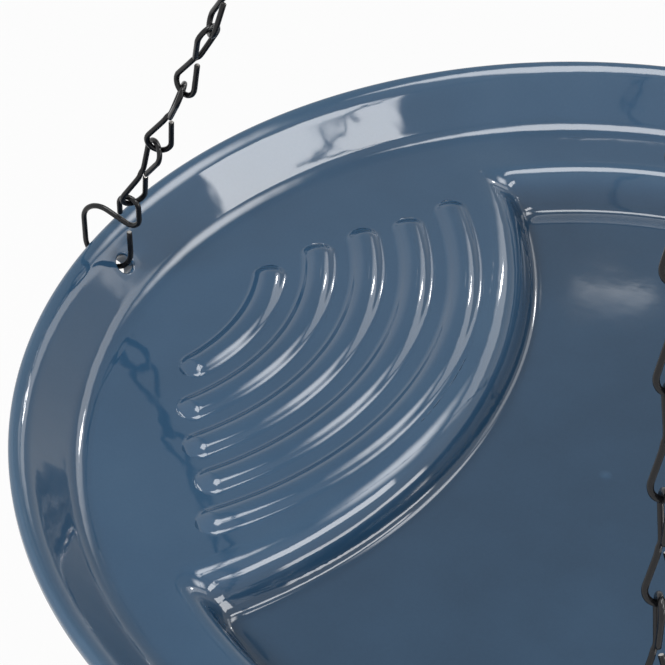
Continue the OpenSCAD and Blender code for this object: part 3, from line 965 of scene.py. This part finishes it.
def link_path(w):
    """Link about its waist: upper loop in XZ, lower loop in YZ, and the strand that winds between them."""
    core = (w.link_len - w.link_wire) / 2
    radius = (w.link_w - w.link_wire) / 2
    middle = core - radius
    leg = math.hypot(w.waist_half, middle - w.waist_cut)
    wrap = math.asin(radius / leg) - math.atan(w.waist_half / (middle - w.waist_cut))
    steps = math.ceil((math.pi + 2 * wrap) / LOOP_STEP)
    turns = np.linspace(math.pi + wrap, -wrap, steps + 1)
    loop = np.stack([radius * np.cos(turns), middle + radius * np.sin(turns)], 1)
    feet = [np.array([side * w.waist_half, w.waist_cut]) for side in (-1, 1)]
    legs = [np.linspace(foot, end, LEG_POINTS)[:-1] for foot, end in zip(feet, (loop[0], loop[-1]))]
    loop = np.concatenate([legs[0], loop, legs[1][::-1]])
    upper = np.stack([loop[:, 0], 0 * loop[:, 0], loop[:, 1]], 1)
    lower = np.stack([0 * loop[:, 0], loop[:, 0], -loop[:, 1]], 1)[::-1]
    t = np.linspace(0, 1, LEG_POINTS)[1:-1]
    a = math.pi * (3 - smooth_step(t)) / 2
    cross = np.stack([w.waist_half * np.cos(a), w.waist_half * np.sin(a), w.waist_cut * (2 * t - 1)], 1)
    path = np.concatenate([lower, cross, upper])
    near = np.abs(path[1:-1, 2]) < WAIST_REACH * w.waist_cut
    for _ in range(WAIST_PASSES):
        eased = (path[:-2] + 2 * path[1:-1] + path[2:]) / 4
        path[1:-1] = np.where(near[:, None], eased, path[1:-1])
    return path


def wire_tree():
    """Sweeps a round wire along a path, chamfers its cut ends and leaves them bare."""
    t, given, keys = geometry_tree("bent_wire", {
        "Diameter": "Float", "Sides": "Int", "Chamfer": "Float",
        "Lacquer": "Material", "Cut Steel": "Material"})
    value = given.outputs
    path = t.add("GeometryNodeMeshToCurve", value["Geometry"])
    ends = t.add("GeometryNodeCurveEndpointSelection", 1, 1)
    scale = t.add("GeometryNodeSwitch", ends, 1.0, value["Chamfer"], input_type="FLOAT")
    ring = t.add("GeometryNodeCurvePrimitiveCircle", mode="RADIUS")
    t.feed(ring.inputs["Resolution"], value["Sides"])
    t.feed(ring.inputs["Radius"], t.times(value["Diameter"], 0.5))
    swept = t.add("GeometryNodeCurveToMesh", path, ring, scale, True)
    corners = t.add("GeometryNodeInputMeshFaceNeighbors").outputs["Vertex Count"]
    cap = t.add("FunctionNodeCompare", data_type="INT", operation="GREATER_THAN")
    t.feed(cap.inputs[2], corners)
    cap.inputs[3].default_value = 4
    round_side = t.add("FunctionNodeBooleanMath", cap, operation="NOT")
    smooth = t.add("GeometryNodeSetShadeSmooth", swept, None, round_side)
    finish_tree(t, smooth, value["Lacquer"], [(cap.outputs[0], value["Cut Steel"])])
    return t.tree, keys


class WireMaker:
    """Makes bent-wire pieces with one geometry tree and one set of finishes."""

    def __init__(self, f):
        self.tree, self.keys = wire_tree()
        self.lacquer = lacquer_material(f)
        self.steel = steel_material(f)

    def make(self, name, path, diameter, sides, closed=False):
        """A wire along a path; an open one gets a short chamfer at each end."""
        if not closed:
            tip = CHAMFER_RUN * diameter
            first, last = path[1] - path[0], path[-2] - path[-1]
            path = np.concatenate([
                path[:1], [path[0] + tip * first / np.linalg.norm(first)], path[1:-1],
                [path[-1] + tip * last / np.linalg.norm(last)], path[-1:]])
        end = len(path) - 1
        edges = [(k, k + 1) for k in range(end)] + ([(end, 0)] if closed else [])
        wire = new_object(name, path.tolist(), edges)
        apply_tree(wire, self.tree, self.keys, {
            "Diameter": diameter, "Sides": sides, "Chamfer": CHAMFER,
            "Lacquer": self.lacquer, "Cut Steel": self.steel})
        return wire


def wire_maker():
    """The one wire maker of this run."""
    if not hasattr(wire_maker, "kept"):
        wire_maker.kept = WireMaker(settings().finish)
    return wire_maker.kept


def make_rim_hooks(d, w):
    """One hook through each hole of the wall."""
    flat = hook_path(d, w)
    for c, a in zip(CHAINS, hole_directions()):
        u = np.array([math.cos(a), math.sin(a), 0])
        path = flat[:, :1] * u + np.array([0, 0, RIM_Z]) + flat[:, 1:] * np.array([0, 0, 1])
        name = "rim_hook_" + c
        seat(wire_maker().make(name + "_wire", path, w.hook_wire, HOOK_SIDES), name, name)


def link_frame(name):
    """A link's waist and its three axes, read from its node: t up the chain, x along its upper loop."""
    joint = next(j for j in frame["joints"] if j["child"] == name)
    base, t = np.array(joint["pos_m"]), np.array(joint["axis"])
    t = t / np.linalg.norm(t)
    mesh = frame["nodes"][name].data
    points = np.unique(np.array([v.co for v in mesh.vertices]).round(6), axis=0)
    up = (points - base) @ t
    waist = base + (up.min() + up.max()) / 2 * t
    flat = points - base - np.outer(up, t)
    upper = up > (up.min() + up.max()) / 2
    x = np.linalg.svd(flat[upper], full_matrices=False)[2][0]
    x = x - (x @ t) * t
    x /= np.linalg.norm(x)
    y = np.cross(t, x)
    return waist, x, y, t, flat, up - (waist - base) @ t


def make_chains(w):
    """Three chains of bent-wire links, each link on its own body."""
    local = link_path(w)
    for c in CHAINS:
        for i in range(1, LINK_COUNT + 1):
            node = f"chain_{c}_link_{i:02d}"
            waist, x, y, t, flat, up = link_frame(node)
            middle = flat[np.abs(up) < w.link_wire / 2].mean(0)
            if middle @ x > 0:
                x, y = -x, -y
            path = waist + local @ np.array([x, y, t])
            seat(wire_maker().make(node + "_wire", path, w.link_wire, LINK_SIDES), node, node)


def make_ring(w):
    """The welded ring that gathers the chains."""
    low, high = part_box("top_ring")
    middle = (low + high) / 2
    radius = (high.z - low.z - w.ring_wire) / 2
    turns = np.linspace(0, TURN, RING_POINTS, endpoint=False)
    path = np.stack([0 * turns, radius * np.cos(turns), radius * np.sin(turns)], 1) + np.array(middle)
    ring = wire_maker().make("top_ring_wire", path, w.ring_wire, RING_SIDES, closed=True)
    seat(ring, "ring", "top_ring")


def make_hanging_hook(w):
    """The hook that the ring hangs on."""
    flat = hanger_path(w)
    path = np.stack([flat[:, 0], 0 * flat[:, 0], flat[:, 1]], 1)
    hook = wire_maker().make("hanging_hook_wire", path, w.hanger_wire, RING_SIDES)
    seat(hook, "hanger", "hanging_hook")


# Stage


def backdrop_share(t, mirrored=1.0):
    """One for rays that see the backdrop straight or through glass, a share for mirrored ones."""
    rays = t.add("ShaderNodeLightPath").outputs
    seen = t.math("MAXIMUM", rays["Is Camera Ray"], t.times(rays["Is Glossy Ray"], mirrored))
    return t.math("MAXIMUM", seen, rays["Is Transmission Ray"])


def make_world(s):
    """A white backdrop all round, dimmer high up behind, and an even light of a plain level."""
    world = bpy.data.worlds.new("studio")
    bpy.context.scene.world = world
    world.use_nodes = True
    t = Tree(world.node_tree)
    world.node_tree.nodes.clear()
    light = t.add("ShaderNodeBackground", (1, 1, 1, 1), s.ambient)
    white = t.add("ShaderNodeBackground", (1, 1, 1, 1), 1.0)
    toward = t.add("ShaderNodeVectorMath", None, BEHIND, operation="DOT_PRODUCT")
    t.feed(toward.inputs[0], t.add("ShaderNodeTexCoord").outputs["Generated"])
    mirrored = t.ramp(toward.outputs["Value"], *BEHIND_FADE, 1.0, s.behind, smooth=True)
    shown = t.add("ShaderNodeMixShader", backdrop_share(t, mirrored), light, white)
    t.add("ShaderNodeOutputWorld", shown)


def make_floor(s):
    """A wide pale floor under the hanging dish that fades into the white backdrop."""
    z = CAD_LOW.z - s.floor_drop
    corners = [(x * FLOOR_HALF, y * FLOOR_HALF, z) for x, y in ((-1, -1), (1, -1), (1, 1), (-1, 1))]
    floor = new_object("floor", corners, (), [(0, 1, 2, 3)])
    material, t, shader = new_material("pale_floor")
    t.feed(shader.inputs["Base Color"], (*s.floor, 1))
    shader.inputs["Roughness"].default_value = 0.9
    white = t.add("ShaderNodeEmission", (1, 1, 1, 1), 1.0)
    share = t.times(backdrop_share(t), s.floor_glow)
    shown = t.add("ShaderNodeMixShader", share, shader, white)
    t.feed(material.node_tree.nodes["Material Output"].inputs["Surface"], shown)
    floor.data.materials.append(material)


def make_lamp(name, turn, rise, size, level, soft, lit, shown, roll):
    """A softbox that faces the dish from a direction, turn from +X and rise above the level, in degrees. Its
    size is in degrees across and up, its level is how many times as bright as white it looks, soft is the
    share of it over which its edges fade, and roll turns it, in degrees. One that isn't lit only shows in the
    glaze, as a panel does, and one that isn't shown only lights."""
    turn, rise = math.radians(turn), math.radians(rise)
    away = Vector((math.cos(rise) * math.cos(turn), math.cos(rise) * math.sin(turn), math.sin(rise)))
    lamp = bpy.data.lights.new(name, "AREA")
    lamp.shape = "RECTANGLE"
    lamp.size, lamp.size_y = (2 * LAMP_REACH * math.tan(math.radians(a) / 2) for a in size)
    lamp.energy = level * math.pi * lamp.size * lamp.size_y
    lamp.use_nodes = True
    t = Tree(lamp.node_tree)
    place = t.add("ShaderNodeSeparateXYZ", t.add("ShaderNodeNewGeometry").outputs["Parametric"])
    fades = []
    for axis in place.outputs[:2]:
        inward = t.math("MINIMUM", axis, t.minus(1.0, axis))
        fades.append(t.ramp(inward, 0.0, soft / 2, smooth=True))
    t.feed(lamp.node_tree.nodes["Emission"].inputs["Strength"], t.times(*fades))
    obj = bpy.data.objects.new(name, lamp)
    obj.location = LAMP_REACH * away + Vector((0, 0, RIM_Z))
    facing = (-away).to_track_quat("-Z", "Y") @ Quaternion((0, 0, 1), math.radians(roll))
    obj.rotation_euler = facing.to_euler()
    obj.visible_camera = False
    obj.visible_diffuse = lit
    obj.visible_glossy = shown
    bpy.context.scene.collection.objects.link(obj)


def make_lamps():
    """A key light in front on the left, a softbox at the side, and panels that draw the highlights."""
    for lamp in LAMPS:
        make_lamp(*lamp)


def make_camera(s):
    """A camera at the photograph's place."""
    data = bpy.data.cameras.new("camera")
    data.lens = s.lens
    camera = bpy.data.objects.new("camera", data)
    look = Vector((
        math.cos(s.tilt) * math.cos(s.heading), math.cos(s.tilt) * math.sin(s.heading), -math.sin(s.tilt)))
    camera.location = Vector(s.camera) + Vector((0, 0, RIM_Z))
    camera.rotation_euler = look.to_track_quat("-Z", "Y").to_euler()
    bpy.context.scene.collection.objects.link(camera)
    bpy.context.scene.camera = camera


# Operators and panel


class WATERER_OT_dish(bpy.types.Operator):
    """Makes the glazed dish"""

    bl_idname = "waterer.dish"
    bl_label = "Make dish"

    def execute(self, context):
        make_dish(settings().dish, settings().finish)
        return {"FINISHED"}


class WATERER_OT_rim_hooks(bpy.types.Operator):
    """Makes the three rim hooks"""

    bl_idname = "waterer.rim_hooks"
    bl_label = "Make rim hooks"

    def execute(self, context):
        make_rim_hooks(settings().dish, settings().wire)
        return {"FINISHED"}


class WATERER_OT_chains(bpy.types.Operator):
    """Makes the links of the three chains"""

    bl_idname = "waterer.chains"
    bl_label = "Make chains"

    def execute(self, context):
        make_chains(settings().wire)
        return {"FINISHED"}


class WATERER_OT_ring(bpy.types.Operator):
    """Makes the ring that gathers the chains"""

    bl_idname = "waterer.ring"
    bl_label = "Make top ring"

    def execute(self, context):
        make_ring(settings().wire)
        return {"FINISHED"}


class WATERER_OT_hanging_hook(bpy.types.Operator):
    """Makes the hanging hook"""

    bl_idname = "waterer.hanging_hook"
    bl_label = "Make hanging hook"

    def execute(self, context):
        make_hanging_hook(settings().wire)
        return {"FINISHED"}


class WATERER_OT_stage(bpy.types.Operator):
    """Sets the camera, the floor and the light"""

    bl_idname = "waterer.stage"
    bl_label = "Set stage"

    def execute(self, context):
        s = settings().stage
        context.scene.view_settings.view_transform = "Standard"
        make_camera(s)
        make_world(s)
        make_floor(s)
        make_lamps()
        return {"FINISHED"}


STEPS = (
    WATERER_OT_dish, WATERER_OT_rim_hooks, WATERER_OT_chains, WATERER_OT_ring, WATERER_OT_hanging_hook,
    WATERER_OT_stage)


class WATERER_PT_panel(bpy.types.Panel):
    """Lists the steps that make the waterer"""

    bl_idname = "WATERER_PT_panel"
    bl_label = "Bird waterer"
    bl_space_type = "VIEW_3D"
    bl_region_type = "UI"
    bl_category = "Waterer"

    def draw(self, context):
        for step in STEPS:
            self.layout.operator(step.bl_idname)


class WatererSettings(bpy.types.PropertyGroup):
    """All settings of the waterer."""

    dish: PointerProperty(type=DishSizes)
    wire: PointerProperty(type=WireSizes)
    finish: PointerProperty(type=Finishes)
    stage: PointerProperty(type=StageSettings)


CLASSES = (DishSizes, WireSizes, Finishes, StageSettings, WatererSettings, *STEPS, WATERER_PT_panel)


def register():
    """Registers the classes and the scene's settings."""
    for cls in CLASSES:
        bpy.utils.register_class(cls)
    bpy.types.Scene.waterer = PointerProperty(type=WatererSettings)


def unregister():
    """Takes the classes and the scene's settings away."""
    del bpy.types.Scene.waterer
    for cls in reversed(CLASSES):
        bpy.utils.unregister_class(cls)


def main():
    """Makes every piece and the stage."""
    register()
    for group, name in (step.bl_idname.split(".") for step in STEPS):
        getattr(getattr(bpy.ops, group), name)()


if __name__ == "__main__":
    main()
